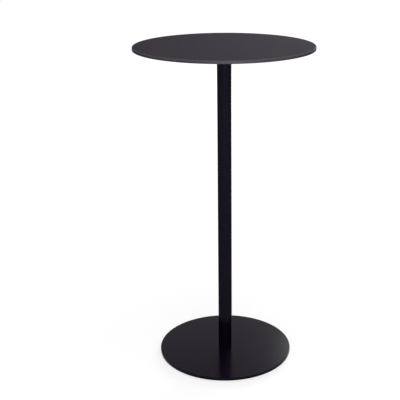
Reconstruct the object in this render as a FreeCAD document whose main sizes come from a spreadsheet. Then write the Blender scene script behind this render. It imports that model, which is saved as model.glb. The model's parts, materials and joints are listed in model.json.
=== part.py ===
"""Bar table: a thin round top on a slim steel column and a flat round base plate.

The table stands on the floor at height zero, with its column along the Z axis. One long tie rod inside
the column clamps the base plate, the column and the four-armed top plate together. The top is screwed to
the top plate from below. Levelling glides are screwed into the underside of the base plate.
All lengths are in millimetres.
"""

import FreeCAD
import Part
import Sketcher

import enum
import os

# Driving dimensions: the name of each, its value and what it measures.
SIZES = [
    ("overall_height", 1110, "floor to the upper face of the top"),
    ("floor_gap", 8, "floor to the underside of the base plate, glides screwed in"),
    ("top_diameter", 600, "outer diameter of the top"),
    ("top_thickness", 10, "thickness of the top"),
    ("top_upper_radius", 2, "rounding of the top's upper rim"),
    ("top_lower_radius", 1, "rounding of the top's lower rim"),
    ("top_skin", 2, "solid left in the top above the insert holes"),
    ("insert_diameter", 9, "outer diameter of a threaded insert"),
    ("insert_room", 0.5, "free end of an insert hole"),
    ("plate_thickness", 4, "thickness of the top plate"),
    ("plate_centre_diameter", 120, "round middle of the top plate"),
    ("arm_width", 46, "width of a top plate arm"),
    ("arm_reach", 160, "column axis to the end of an arm"),
    ("arm_corner_radius", 14, "rounding between an arm and the round middle"),
    ("arm_count", 4, "arms of the top plate"),
    ("screw_end_distance", 20, "outer screw to the end of its arm"),
    ("screw_spacing", 56, "outer screw to inner screw on one arm"),
    ("screw_diameter", 6, "thread of a top screw"),
    ("screw_hole_gap", 0.3, "room round a screw in the top plate"),
    ("screw_tip_room", 1.5, "insert thread left free above a screw"),
    ("screw_head_diameter", 10.5, "head of a top screw"),
    ("screw_head_height", 3.3, "height of a top screw's head"),
    ("screw_head_dome", 2.4, "rounding of a top screw's head"),
    ("screw_socket_width", 4, "hexagon socket of a top screw, across flats"),
    ("screw_socket_depth", 2, "depth of that socket"),
    ("hub_height", 30, "length of the hub inside the column"),
    ("hub_cap", 4, "solid left in the hub above its tapped hole"),
    ("hub_spigot_diameter", 20, "spigot that centres the hub in the top plate"),
    ("hub_bevel", 1.5, "lead-in bevel of the hub"),
    ("column_diameter", 48.3, "outer diameter of the column"),
    ("column_wall", 2, "wall of the column"),
    ("rod_diameter", 10, "thread of the tie rod"),
    ("rod_hole_gap", 0.5, "room round the tie rod in the foot plug and base plate"),
    ("rod_end_room", 2, "free end of the hub's tapped hole"),
    ("rod_tail", 0.8, "tie rod below the nut"),
    ("rod_bevel", 1, "bevel on each end of the tie rod"),
    ("foot_plug_height", 20, "height of the plug in the foot of the column"),
    ("base_diameter", 470, "outer diameter of the base plate"),
    ("base_thickness", 10, "thickness of the base plate"),
    ("base_rim_radius", 1.2, "rounding of the base plate's rims"),
    ("base_skin", 2, "solid left in the base plate above the glide holes"),
    ("recess_depth", 4, "depth of the nut recess under the base plate"),
    ("recess_room", 2, "room round the washer in the nut recess"),
    ("washer_diameter", 20, "outer diameter of the flat washer"),
    ("washer_thickness", 2, "thickness of the flat washer"),
    ("washer_gap", 0.25, "room round the tie rod in the washers"),
    ("spring_washer_diameter", 18, "outer diameter of the spring washer"),
    ("spring_washer_thickness", 2.2, "thickness of the spring washer"),
    ("spring_washer_split", 2, "split in the spring washer"),
    ("nut_width", 16, "tie rod nut, across flats"),
    ("nut_height", 5, "height of the tie rod nut"),
    ("nut_bevel_angle", 30, "slope of the bevel on the nut's corners, in degrees"),
    ("pin_diameter", 4, "locating pin between base plate and foot plug"),
    ("pin_wall", 1.5, "wall between the nut recess and a locating pin"),
    ("pin_inset", 2, "underside of the base plate to the end of a pin"),
    ("pin_rise", 7, "pin above the base plate, inside the foot plug"),
    ("pin_room", 1, "free end of a pin hole in the foot plug"),
    ("pin_bevel", 0.5, "bevel on each end of a pin"),
    ("pin_count", 2, "locating pins"),
    ("glide_count", 4, "levelling glides"),
    ("glide_edge_distance", 35, "centre of a glide to the rim of the base plate"),
    ("stud_diameter", 8, "thread of a glide stud"),
    ("stud_gap", 0.15, "room round a stud in its glide hole"),
    ("stud_room", 0.5, "free end of a glide hole"),
    ("stud_bevel", 0.8, "bevel on the end of a stud"),
    ("collar_width", 13, "hexagon collar of a stud, across flats"),
    ("collar_height", 2.5, "height of that collar"),
    ("neck_diameter", 6, "neck between the collar and the head of a stud"),
    ("stud_head_diameter", 9.2, "round head of a stud, held in the pad"),
    ("stud_head_height", 2, "height of that head"),
    ("pad_diameter", 30, "outer diameter of a glide pad"),
    ("pad_floor", 1.5, "solid under the stud in a glide pad"),
    ("pad_gap", 0.5, "room between a pad and the collar above it"),
    ("pad_rim_radius", 1.2, "rounding of a pad's rims"),
    ("swivel_gap", 0.3, "room round the stud's head and neck in the pad"),
    ("thread_gap", 0.05, "room between two threads"),
    ("press_gap", 0.05, "room in a pressed seat"),
    ("slip_gap", 0.2, "room round the hub in the column"),
    ("plug_gap", 0.15, "room round the foot plug in the column, closed by its weld"),
]

# Heights above the floor and other sizes that follow from the driving dimensions.
TOP_UNDERSIDE = "sizes.overall_height - sizes.top_thickness"
PLATE_UNDERSIDE = f"{TOP_UNDERSIDE} - sizes.plate_thickness"
HUB_UNDERSIDE = f"{PLATE_UNDERSIDE} - sizes.hub_height"
BASE_UPPER_FACE = "sizes.floor_gap + sizes.base_thickness"
WASHER_UNDERSIDE = "sizes.floor_gap + sizes.recess_depth - sizes.washer_thickness"
SPRING_WASHER_UNDERSIDE = f"{WASHER_UNDERSIDE} - sizes.spring_washer_thickness"
NUT_UNDERSIDE = f"{SPRING_WASHER_UNDERSIDE} - sizes.nut_height"
ROD_UNDERSIDE = f"{NUT_UNDERSIDE} - sizes.rod_tail"

COLUMN_BORE = "sizes.column_diameter - 2 * sizes.column_wall"
COLUMN_LENGTH = f"{PLATE_UNDERSIDE} - ({BASE_UPPER_FACE})"

OUTER_SCREW_REACH = "sizes.arm_reach - sizes.screw_end_distance"
SCREW_REACHES = [OUTER_SCREW_REACH, f"{OUTER_SCREW_REACH} - sizes.screw_spacing"]
SCREW_THREAD = "sizes.screw_diameter + 2 * sizes.thread_gap"
SCREW_HOLE = "sizes.screw_diameter + 2 * sizes.screw_hole_gap"
INSERT_HOLE = "sizes.insert_diameter + 2 * sizes.press_gap"
INSERT_HOLE_DEPTH = "sizes.top_thickness - sizes.top_skin"
INSERT_LENGTH = f"{INSERT_HOLE_DEPTH} - sizes.insert_room"
SCREW_LENGTH = f"sizes.plate_thickness + {INSERT_LENGTH} - sizes.screw_tip_room"

ROD_THREAD = "sizes.rod_diameter + 2 * sizes.thread_gap"
ROD_HOLE = "sizes.rod_diameter + 2 * sizes.rod_hole_gap"
WASHER_HOLE = "sizes.rod_diameter + 2 * sizes.washer_gap"
HUB_HOLE_DEPTH = "sizes.hub_height - sizes.hub_cap"
ROD_LENGTH = f"{HUB_UNDERSIDE} + {HUB_HOLE_DEPTH} - sizes.rod_end_room - ({ROD_UNDERSIDE})"

RECESS_DIAMETER = "sizes.washer_diameter + 2 * sizes.recess_room"
PIN_REACH = f"({RECESS_DIAMETER}) / 2 + sizes.pin_wall + sizes.pin_diameter / 2"
PIN_HOLE = "sizes.pin_diameter + 2 * sizes.press_gap"
PIN_LENGTH = "sizes.base_thickness - sizes.pin_inset + sizes.pin_rise"

GLIDE_REACH = "sizes.base_diameter / 2 - sizes.glide_edge_distance"
GLIDE_HOLE = "sizes.stud_diameter + 2 * sizes.stud_gap"
GLIDE_HOLE_DEPTH = "sizes.base_thickness - sizes.base_skin"
STUD_LENGTH = f"{GLIDE_HOLE_DEPTH} - sizes.stud_room"
COLLAR_FOOT = "sizes.floor_gap - sizes.collar_height - sizes.pad_floor"
NECK_LENGTH = f"{COLLAR_FOOT} - sizes.stud_head_height"
PAD_HEIGHT = "sizes.floor_gap - sizes.collar_height - sizes.pad_gap"
HEAD_CAVITY = "sizes.stud_head_diameter + 2 * sizes.swivel_gap"
NECK_HOLE = "sizes.neck_diameter + 2 * sizes.swivel_gap"

# Two places closer than this are the same when edges are looked up.
CLOSE = 1e-6
FULL_TURN = 360
HEXAGON_SIDES = 6


class Point(enum.IntEnum):
    """How a sketch numbers the points of a line or a curve."""

    START = 1
    END = 2
    CENTRE = 3


class Axis(enum.IntEnum):
    """How a sketch numbers its own axes."""

    X = -1
    Y = -2


# A sketch's origin is the start of its X axis.
ORIGIN = (Axis.X, Point.START)

doc = FreeCAD.newDocument("bar_table")
sizes = doc.addObject("Spreadsheet::Sheet", "sizes")
sub_parts = []


def fill_sheet():
    """Write each driving dimension to a row of the sheet, with its name as the alias."""
    for row, (alias, value, meaning) in enumerate(SIZES, start=1):
        sizes.set(f"A{row}", meaning)
        sizes.set(f"B{row}", str(value))
        sizes.setAlias(f"B{row}", alias)
    doc.recompute()


def value_of(expression):
    """The present value of an expression on the sheet, as a plain number."""
    result = sizes.evalExpression(expression)
    return float(getattr(result, "Value", result))


# Bodies and sketches.


def new_body(label, height):
    """An empty body for one sub-part, with its local origin at this height on the column axis."""
    body = doc.addObject("PartDesign::Body", label)
    body.Label = label
    body.setExpression("Placement.Base.z", height)
    sub_parts.append(body)
    return body


def origin_feature(body, role):
    """The body's own origin plane or axis with this role."""
    return next(item for item in body.Origin.OriginFeatures if item.Role == role)


def new_sketch(body, height="0", plane="XY_Plane"):
    """An empty sketch on one of the body's origin planes, raised along that plane's normal."""
    sketch = body.newObject("Sketcher::SketchObject", "Sketch")
    sketch.AttachmentSupport = [(origin_feature(body, plane), "")]
    sketch.MapMode = "FlatFace"
    sketch.setExpression("AttachmentOffset.Base.z", height)
    return sketch


def bind(sketch, constraint, expression):
    """Add a dimension to the sketch and drive it by an expression on the sheet."""
    index = sketch.addConstraint(constraint)
    name = f"size_{index}"
    sketch.renameConstraint(index, name)
    sketch.setExpression(f"Constraints.{name}", expression)


def place_centre(sketch, circle, reach):
    """Put a circle's centre on the sketch's X axis, at this reach from the sketch's origin."""
    if reach == "0":
        sketch.addConstraint(Sketcher.Constraint("Coincident", circle, Point.CENTRE, *ORIGIN))
    else:
        sketch.addConstraint(Sketcher.Constraint("PointOnObject", circle, Point.CENTRE, Axis.X))
        bind(sketch, Sketcher.Constraint("DistanceX", *ORIGIN, circle, Point.CENTRE, value_of(reach)), reach)


def add_circle(sketch, diameter, reach="0"):
    """A circle of this diameter, centred on the sketch's X axis."""
    centre = FreeCAD.Vector(value_of(reach), 0, 0)
    round_line = Part.Circle(centre, FreeCAD.Vector(0, 0, 1), value_of(diameter) / 2)
    circle = sketch.addGeometry(round_line, False)
    place_centre(sketch, circle, reach)
    bind(sketch, Sketcher.Constraint("Diameter", circle, value_of(diameter)), diameter)
    return circle


def add_polygon(sketch, corners):
    """A closed outline of straight lines through these corners. Returns the lines."""
    ends = corners[1:] + corners[:1]
    lines = [sketch.addGeometry(Part.LineSegment(*pair), False) for pair in zip(corners, ends)]
    for line, following in zip(lines, lines[1:] + lines[:1]):
        sketch.addConstraint(Sketcher.Constraint("Coincident", line, Point.END, following, Point.START))
    return lines


def add_hexagon(sketch, width, reach="0"):
    """A regular hexagon of this width across flats, with two of its corners on the sketch's X axis."""
    across_corners = f"({width}) / cos({FULL_TURN / HEXAGON_SIDES / 2} deg)"
    guide = add_circle(sketch, across_corners, reach)
    sketch.setConstruction(guide, True)
    centre = FreeCAD.Vector(value_of(reach), 0, 0)
    spoke = FreeCAD.Vector(value_of(across_corners) / 2, 0, 0)
    upward = FreeCAD.Vector(0, 0, 1)
    angles = [FULL_TURN / HEXAGON_SIDES * side for side in range(HEXAGON_SIDES)]
    spokes = [FreeCAD.Rotation(upward, angle).multVec(spoke) for angle in angles]
    lines = add_polygon(sketch, [centre + turned for turned in spokes])
    sketch.addConstraint(Sketcher.Constraint("PointOnObject", lines[0], Point.START, Axis.X))
    for line in lines:
        sketch.addConstraint(Sketcher.Constraint("PointOnObject", line, Point.START, guide))
    for line in lines[1:]:
        sketch.addConstraint(Sketcher.Constraint("Equal", lines[0], line))


def add_outline(sketch, points):
    """A closed outline of straight lines through these points, each a pair of expressions."""
    corners = [FreeCAD.Vector(value_of(across), value_of(along), 0) for across, along in points]
    lines = add_polygon(sketch, corners)
    for line, corner, (across, along) in zip(lines, corners, points):
        bind(sketch, Sketcher.Constraint("DistanceX", *ORIGIN, line, Point.START, corner.x), across)
        bind(sketch, Sketcher.Constraint("DistanceY", *ORIGIN, line, Point.START, corner.y), along)


def add_arm(sketch, reach, width):
    """A straight arm along the sketch's X axis, from the Y axis to a half-round end."""
    straight = f"{reach} - {width} / 2"
    length = value_of(straight)
    half_width = value_of(width) / 2
    low_root = FreeCAD.Vector(0, -half_width, 0)
    low_end = FreeCAD.Vector(length, -half_width, 0)
    tip = FreeCAD.Vector(length + half_width, 0, 0)
    high_end = FreeCAD.Vector(length, half_width, 0)
    high_root = FreeCAD.Vector(0, half_width, 0)
    low = sketch.addGeometry(Part.LineSegment(low_root, low_end), False)
    cap = sketch.addGeometry(Part.Arc(low_end, tip, high_end), False)
    high = sketch.addGeometry(Part.LineSegment(high_end, high_root), False)
    root = sketch.addGeometry(Part.LineSegment(high_root, low_root), False)
    sketch.addConstraint(Sketcher.Constraint("Tangent", low, Point.END, cap, Point.START))
    sketch.addConstraint(Sketcher.Constraint("Tangent", cap, Point.END, high, Point.START))
    sketch.addConstraint(Sketcher.Constraint("Coincident", high, Point.END, root, Point.START))
    sketch.addConstraint(Sketcher.Constraint("Coincident", root, Point.END, low, Point.START))
    sketch.addConstraint(Sketcher.Constraint("Horizontal", low))
    sketch.addConstraint(Sketcher.Constraint("Horizontal", high))
    sketch.addConstraint(Sketcher.Constraint("PointOnObject", low, Point.START, Axis.Y))
    sketch.addConstraint(Sketcher.Constraint("PointOnObject", high, Point.END, Axis.Y))
    sketch.addConstraint(Sketcher.Constraint("PointOnObject", cap, Point.CENTRE, Axis.X))
    bind(sketch, Sketcher.Constraint("Radius", cap, half_width), f"{width} / 2")
    bind(sketch, Sketcher.Constraint("DistanceX", *ORIGIN, cap, Point.CENTRE, length), straight)


# Features.


def pad(body, sketch, length):
    """Raise the sketch's outline into a solid."""
    feature = body.newObject("PartDesign::Pad", "Pad")
    feature.Profile = sketch
    feature.setExpression("Length", length)
    doc.recompute()
    return feature


def check_cut(body, volume_before):
    """Stop if the last cut removed nothing."""
    if body.Tip.Shape.Volume >= volume_before:
        raise RuntimeError(f"a cut in {body.Label} removed nothing")


def pocket(body, sketch, depth):
    """Cut the sketch's outline upwards into the solid above it."""
    volume_before = body.Tip.Shape.Volume
    feature = body.newObject("PartDesign::Pocket", "Pocket")
    feature.Profile = sketch
    feature.Reversed = True
    feature.setExpression("Length", depth)
    doc.recompute()
    check_cut(body, volume_before)
    return feature


def groove(body, sketch):
    """Cut away the sketch's outline turned once round the body's Z axis."""
    volume_before = body.Tip.Shape.Volume
    feature = body.newObject("PartDesign::Groove", "Groove")
    feature.Profile = sketch
    feature.ReferenceAxis = (origin_feature(body, "Z_Axis"), [""])
    feature.Angle = FULL_TURN
    doc.recompute()
    check_cut(body, volume_before)
    return feature


def repeat_round(body, count, features=None):
    """Repeat features, or else the whole body, evenly round the body's Z axis."""
    pattern = body.newObject("PartDesign::PolarPattern", "PolarPattern")
    if features:
        pattern.Originals = features
    else:
        pattern.TransformMode = "Whole shape"
    pattern.Axis = (origin_feature(body, "Z_Axis"), [""])
    pattern.Angle = FULL_TURN
    pattern.setExpression("Occurrences", count)
    body.Tip = pattern
    doc.recompute()
    return pattern


def rim_edges(body, height):
    """The widest round edges of the body at this local height, by name."""
    level = value_of(height)
    radii = {}
    for index, edge in enumerate(body.Tip.Shape.Edges, start=1):
        lowest, highest = edge.BoundBox.ZMin, edge.BoundBox.ZMax
        is_level = abs(lowest - level) < CLOSE and abs(highest - level) < CLOSE
        if is_level and isinstance(edge.Curve, Part.Circle):
            radii[f"Edge{index}"] = edge.Curve.Radius
    widest = max(radii.values())
    return [name for name, radius in radii.items() if radius > widest - CLOSE]


def upright_edges(body, distance):
    """The straight upright edges of the body at this distance from its Z axis, by name."""
    names = []
    for index, edge in enumerate(body.Tip.Shape.Edges, start=1):
        foot, head = edge.Vertexes[0].Point, edge.Vertexes[-1].Point
        is_upright = isinstance(edge.Curve, Part.Line) and abs(foot.z - head.z) > CLOSE
        if is_upright and abs((foot.x**2 + foot.y**2) ** 0.5 - value_of(distance)) < CLOSE:
            names.append(f"Edge{index}")
    return names


def dress(body, kind, edges, property_name, size):
    """Add a fillet or chamfer of this size to edges of the body."""
    base = body.Tip
    feature = body.newObject(f"PartDesign::{kind}", kind)
    feature.Base = (base, edges)
    feature.setExpression(property_name, size)
    doc.recompute()


def round_rim(body, height, radius):
    """Round the widest rim of the body at this local height."""
    dress(body, "Fillet", rim_edges(body, height), "Radius", radius)


def bevel_rim(body, height, size):
    """Bevel the widest rim of the body at this local height."""
    dress(body, "Chamfer", rim_edges(body, height), "Size", size)


def pad_disc(body, diameter, length, hole=None, height="0", reaches=("0",)):
    """Raise a disc at each reach, with a round hole through it if one is given."""
    sketch = new_sketch(body, height)
    for reach in reaches:
        add_circle(sketch, diameter, reach)
        if hole:
            add_circle(sketch, hole, reach)
    return pad(body, sketch, length)


def drill(body, diameter, depth, height="0", reaches=("0",)):
    """Drill a round hole upwards from this local height, at each reach."""
    sketch = new_sketch(body, height)
    for reach in reaches:
        add_circle(sketch, diameter, reach)
    return pocket(body, sketch, depth)


# The top and what holds it.


def make_table_top():
    """Round laminate top, with blind holes in its underside for the threaded inserts."""
    body = new_body("table_top", TOP_UNDERSIDE)
    pad_disc(body, "sizes.top_diameter", "sizes.top_thickness")
    round_rim(body, "sizes.top_thickness", "sizes.top_upper_radius")
    round_rim(body, "0", "sizes.top_lower_radius")
    holes = drill(body, INSERT_HOLE, INSERT_HOLE_DEPTH, reaches=SCREW_REACHES)
    repeat_round(body, "sizes.arm_count", [holes])


def make_top_inserts():
    """Threaded inserts pressed into the top, two above each arm of the top plate."""
    body = new_body("top_inserts", TOP_UNDERSIDE)
    pad_disc(body, "sizes.insert_diameter", INSERT_LENGTH, SCREW_THREAD, reaches=SCREW_REACHES)
    repeat_round(body, "sizes.arm_count")


def make_top_plate():
    """Flat plate with arms that carries the top, with a hole in the middle for the hub's spigot."""
    body = new_body("top_plate", PLATE_UNDERSIDE)
    pad_disc(body, "sizes.plate_centre_diameter", "sizes.plate_thickness")
    outline = new_sketch(body)
    add_arm(outline, "sizes.arm_reach", "sizes.arm_width")
    arm = pad(body, outline, "sizes.plate_thickness")
    repeat_round(body, "sizes.arm_count", [arm])
    corners = upright_edges(body, "sizes.plate_centre_diameter / 2")
    dress(body, "Fillet", corners, "Radius", "sizes.arm_corner_radius")
    drill(body, "sizes.hub_spigot_diameter + 2 * sizes.press_gap", "sizes.plate_thickness")
    holes = drill(body, SCREW_HOLE, "sizes.plate_thickness", reaches=SCREW_REACHES)
    repeat_round(body, "sizes.arm_count", [holes])


def make_top_screws():
    """Button-head screws that hold the top plate to the inserts, with their heads below the plate."""
    body = new_body("top_screws", f"{PLATE_UNDERSIDE} - sizes.screw_head_height")
    pad_disc(body, "sizes.screw_head_diameter", "sizes.screw_head_height", reaches=SCREW_REACHES)
    round_rim(body, "0", "sizes.screw_head_dome")
    pad_disc(body, "sizes.screw_diameter", SCREW_LENGTH, None, "sizes.screw_head_height", SCREW_REACHES)
    sockets = new_sketch(body)
    for reach in SCREW_REACHES:
        add_hexagon(sockets, "sizes.screw_socket_width", reach)
    pocket(body, sockets, "sizes.screw_socket_depth")
    repeat_round(body, "sizes.arm_count")


def make_hub():
    """Turned hub under the top plate that centres the column and takes the tie rod's upper thread."""
    body = new_body("hub", HUB_UNDERSIDE)
    pad_disc(body, f"{COLUMN_BORE} - 2 * sizes.slip_gap", "sizes.hub_height")
    bevel_rim(body, "0", "sizes.hub_bevel")
    pad_disc(body, "sizes.hub_spigot_diameter", "sizes.plate_thickness", height="sizes.hub_height")
    drill(body, ROD_THREAD, HUB_HOLE_DEPTH)


# The column and what is inside it.


def make_column_tube():
    """Round tube between the base plate and the top plate."""
    body = new_body("column_tube", BASE_UPPER_FACE)
    pad_disc(body, "sizes.column_diameter", COLUMN_LENGTH, COLUMN_BORE)


def make_tie_rod():
    """Threaded rod from the nut under the base plate up into the hub."""
    body = new_body("tie_rod", ROD_UNDERSIDE)
    pad_disc(body, "sizes.rod_diameter", ROD_LENGTH)
    bevel_rim(body, "0", "sizes.rod_bevel")
    bevel_rim(body, ROD_LENGTH, "sizes.rod_bevel")


def make_foot_plug():
    """Thick disc welded into the foot of the column, with holes for the rod and the locating pins."""
    body = new_body("foot_plug", BASE_UPPER_FACE)
    pad_disc(body, f"{COLUMN_BORE} - 2 * sizes.plug_gap", "sizes.foot_plug_height", ROD_HOLE)
    hole = drill(body, PIN_HOLE, "sizes.pin_rise + sizes.pin_room", reaches=[PIN_REACH])
    repeat_round(body, "sizes.pin_count", [hole])


# The base plate and its fixings.


def make_base_plate():
    """Heavy round plate with a nut recess, pin holes and blind glide holes in its underside."""
    body = new_body("base_plate", "sizes.floor_gap")
    pad_disc(body, "sizes.base_diameter", "sizes.base_thickness", ROD_HOLE)
    round_rim(body, "sizes.base_thickness", "sizes.base_rim_radius")
    round_rim(body, "0", "sizes.base_rim_radius")
    drill(body, RECESS_DIAMETER, "sizes.recess_depth")
    pin_hole = drill(body, PIN_HOLE, "sizes.base_thickness", reaches=[PIN_REACH])
    repeat_round(body, "sizes.pin_count", [pin_hole])
    glide_hole = drill(body, GLIDE_HOLE, GLIDE_HOLE_DEPTH, reaches=[GLIDE_REACH])
    repeat_round(body, "sizes.glide_count", [glide_hole])


def make_locating_pins():
    """Pins that keep the column from turning on the base plate."""
    body = new_body("locating_pins", "sizes.floor_gap + sizes.pin_inset")
    pad_disc(body, "sizes.pin_diameter", PIN_LENGTH, reaches=[PIN_REACH])
    bevel_rim(body, "0", "sizes.pin_bevel")
    bevel_rim(body, PIN_LENGTH, "sizes.pin_bevel")
    repeat_round(body, "sizes.pin_count")


def make_base_washer():
    """Flat washer against the ceiling of the nut recess."""
    body = new_body("base_washer", WASHER_UNDERSIDE)
    pad_disc(body, "sizes.washer_diameter", "sizes.washer_thickness", WASHER_HOLE)


def make_spring_washer():
    """Split ring under the flat washer, pressed flat by the nut."""
    body = new_body("spring_washer", SPRING_WASHER_UNDERSIDE)
    pad_disc(body, "sizes.spring_washer_diameter", "sizes.spring_washer_thickness", WASHER_HOLE)
    split = new_sketch(body)
    outside = "sizes.spring_washer_diameter"
    half_split = "sizes.spring_washer_split / 2"
    low_side = [("0", f"-{half_split}"), (outside, f"-{half_split}")]
    high_side = [(outside, half_split), ("0", half_split)]
    add_outline(split, low_side + high_side)
    pocket(body, split, "sizes.spring_washer_thickness")


def make_base_nut():
    """Thin hexagon nut on the lower end of the tie rod, with bevelled corners below."""
    body = new_body("base_nut", NUT_UNDERSIDE)
    outline = new_sketch(body)
    add_hexagon(outline, "sizes.nut_width")
    pad(body, outline, "sizes.nut_height")
    drill(body, ROD_THREAD, "sizes.nut_height")
    bevel = new_sketch(body, plane="XZ_Plane")
    bevel_top = "sizes.nut_width / 2 * tan(sizes.nut_bevel_angle * 1 deg)"
    inner_corner = ("sizes.nut_width / 2", "0")
    add_outline(bevel, [inner_corner, ("sizes.nut_width", "0"), ("sizes.nut_width", bevel_top)])
    groove(body, bevel)


# The levelling glides.


def stand_at_glide(body, number):
    """Move a body from the column axis to the glide with this number."""
    direction = f"{FULL_TURN} deg / sizes.glide_count * {number - 1}"
    body.setExpression("Placement.Base.x", f"({GLIDE_REACH}) * cos({direction})")
    body.setExpression("Placement.Base.y", f"({GLIDE_REACH}) * sin({direction})")


def make_glide_stud(number):
    """Stud with a round head in the pad, a narrow neck, a hexagon collar and a thread in the base plate."""
    body = new_body(f"glide_stud_{number}", "sizes.pad_floor")
    stand_at_glide(body, number)
    pad_disc(body, "sizes.stud_head_diameter", "sizes.stud_head_height")
    pad_disc(body, "sizes.neck_diameter", NECK_LENGTH, height="sizes.stud_head_height")
    collar = new_sketch(body, COLLAR_FOOT)
    add_hexagon(collar, "sizes.collar_width")
    pad(body, collar, "sizes.collar_height")
    thread_foot = f"{COLLAR_FOOT} + sizes.collar_height"
    pad_disc(body, "sizes.stud_diameter", STUD_LENGTH, height=thread_foot)
    bevel_rim(body, f"{thread_foot} + {STUD_LENGTH}", "sizes.stud_bevel")


def make_glide_pad(number):
    """Plastic pad on the floor, hollow so that the stud's head turns inside it."""
    body = new_body(f"glide_pad_{number}", "0")
    stand_at_glide(body, number)
    pad_disc(body, "sizes.pad_diameter", PAD_HEIGHT)
    round_rim(body, PAD_HEIGHT, "sizes.pad_rim_radius")
    round_rim(body, "0", "sizes.pad_rim_radius")
    drill(body, NECK_HOLE, f"{PAD_HEIGHT} - sizes.pad_floor", height="sizes.pad_floor")
    drill(body, HEAD_CAVITY, "sizes.stud_head_height + sizes.swivel_gap", height="sizes.pad_floor")


# Building, checking and writing.


def check_document():
    """Stop if any object of the document failed, or if a sub-part has no valid solid."""
    for item in doc.Objects:
        if "Invalid" in item.State or "Error" in item.State:
            raise RuntimeError(f"{item.Label} failed: {item.State}")
    for body in sub_parts:
        if body.Shape.isNull() or not body.Shape.isValid() or not body.Shape.Solids:
            raise RuntimeError(f"{body.Label} has no valid shape")


def write_parts():
    """Write each sub-part to a file of its own, and print its size."""
    os.makedirs("parts", exist_ok=True)
    for body in sub_parts:
        body.Shape.exportStep(f"parts/{body.Label}.step")
        box = body.Shape.optimalBoundingBox(True, False)
        size = f"{box.XLength:.1f} x {box.YLength:.1f} x {box.ZLength:.1f}"
        print(f"{body.Label}: {len(body.Shape.Solids)} solids, {size} mm, from {box.ZMin:.2f} mm up")


fill_sheet()
make_table_top()
make_top_inserts()
make_top_plate()
make_top_screws()
make_hub()
make_column_tube()
make_tie_rod()
make_foot_plug()
make_base_plate()
make_locating_pins()
make_base_washer()
make_spring_washer()
make_base_nut()
for glide_number in range(1, round(value_of("sizes.glide_count")) + 1):
    make_glide_stud(glide_number)
    make_glide_pad(glide_number)
doc.recompute()
check_document()
write_parts()
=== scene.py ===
# %% [markdown]
# # A bar table, cell by cell
#
# The table is a thin round top on a slim black column, standing on a flat round base plate. Its solid
# parts come from a CAD model, so this lesson starts by loading them as a fixed frame. Everything is in
# metres, with the floor at zero height and the column's axis at the origin, so a new piece goes exactly
# where the CAD says.

import json
import math

import bpy
import numpy as np
from mathutils import Matrix, Vector

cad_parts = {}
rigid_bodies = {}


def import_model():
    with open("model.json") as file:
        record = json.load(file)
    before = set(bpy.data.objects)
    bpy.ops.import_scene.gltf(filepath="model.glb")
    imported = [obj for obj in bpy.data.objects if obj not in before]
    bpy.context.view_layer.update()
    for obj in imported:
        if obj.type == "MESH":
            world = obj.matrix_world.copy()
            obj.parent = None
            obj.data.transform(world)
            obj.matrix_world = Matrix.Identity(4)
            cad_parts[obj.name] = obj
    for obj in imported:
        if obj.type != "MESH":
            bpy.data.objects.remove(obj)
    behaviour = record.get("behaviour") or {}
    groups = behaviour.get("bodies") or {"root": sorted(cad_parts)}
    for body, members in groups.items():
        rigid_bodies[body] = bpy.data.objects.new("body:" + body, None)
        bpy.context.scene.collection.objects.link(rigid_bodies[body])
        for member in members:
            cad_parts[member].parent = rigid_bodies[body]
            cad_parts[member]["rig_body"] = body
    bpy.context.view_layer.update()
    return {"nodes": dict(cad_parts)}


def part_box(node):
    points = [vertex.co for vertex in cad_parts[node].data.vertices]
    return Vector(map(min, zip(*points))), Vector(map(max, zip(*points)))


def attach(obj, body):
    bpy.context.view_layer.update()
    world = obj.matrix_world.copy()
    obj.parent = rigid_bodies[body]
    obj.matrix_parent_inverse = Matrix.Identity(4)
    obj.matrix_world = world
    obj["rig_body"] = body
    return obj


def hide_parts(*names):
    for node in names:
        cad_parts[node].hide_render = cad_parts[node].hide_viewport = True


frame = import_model()
nodes = frame["nodes"]
scene = bpy.context.scene
body_of = {name: node["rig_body"] for name, node in nodes.items()}
slot_of = {name: node.data.materials[0].name for name, node in nodes.items()}

# %% [markdown]
# ## The camera
#
# A round top and a round base are seen as two ellipses. How flat each ellipse is tells how far the
# camera looks down on it, and how their widths compare tells how far away the camera stands. One thing
# stays open: the outlines fit equally well with the lens axis at any row from 130 to 200, so row 185 is
# a choice. The axis lies off the middle of the picture, and the camera has a small shift for that.

# %% Place the camera
PICTURE_PIXELS = 400
FOCAL_PIXELS = 841.5
AXIS_COLUMN, AXIS_ROW = 224.63, 185.0
CAMERA_PLACE = Vector((0.0, -2.7475, 1.5257))
CAMERA_PITCH = math.radians(18.033)
CAMERA_ROLL = math.radians(-0.241)
SENSOR_WIDTH = 36.0


def camera_turn(pitch, roll):
    """Rotation whose columns are the camera's right, up and back axes, for a look along +Y that dips by
    the pitch."""
    right = Vector((1.0, 0.0, 0.0))
    forward = Vector((0.0, math.cos(pitch), -math.sin(pitch)))
    up = right.cross(forward)
    turned_right = math.cos(roll) * right + math.sin(roll) * up
    turned_up = math.cos(roll) * up - math.sin(roll) * right
    return Matrix((turned_right, turned_up, -forward)).transposed()


lens = bpy.data.cameras.new("photo_camera")
lens.sensor_width = SENSOR_WIDTH
lens.lens = FOCAL_PIXELS / PICTURE_PIXELS * SENSOR_WIDTH
lens.shift_x = 0.5 - AXIS_COLUMN / PICTURE_PIXELS
lens.shift_y = AXIS_ROW / PICTURE_PIXELS - 0.5
camera = bpy.data.objects.new("photo_camera", lens)
camera_rotation = camera_turn(CAMERA_PITCH, CAMERA_ROLL)
camera.matrix_world = Matrix.Translation(CAMERA_PLACE) @ camera_rotation.to_4x4()
scene.collection.objects.link(camera)
scene.camera = camera
scene.view_settings.view_transform = "Standard"
print(f"lens {lens.lens:.1f} mm, shift {lens.shift_x:.3f} across and {lens.shift_y:.3f} up")

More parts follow.
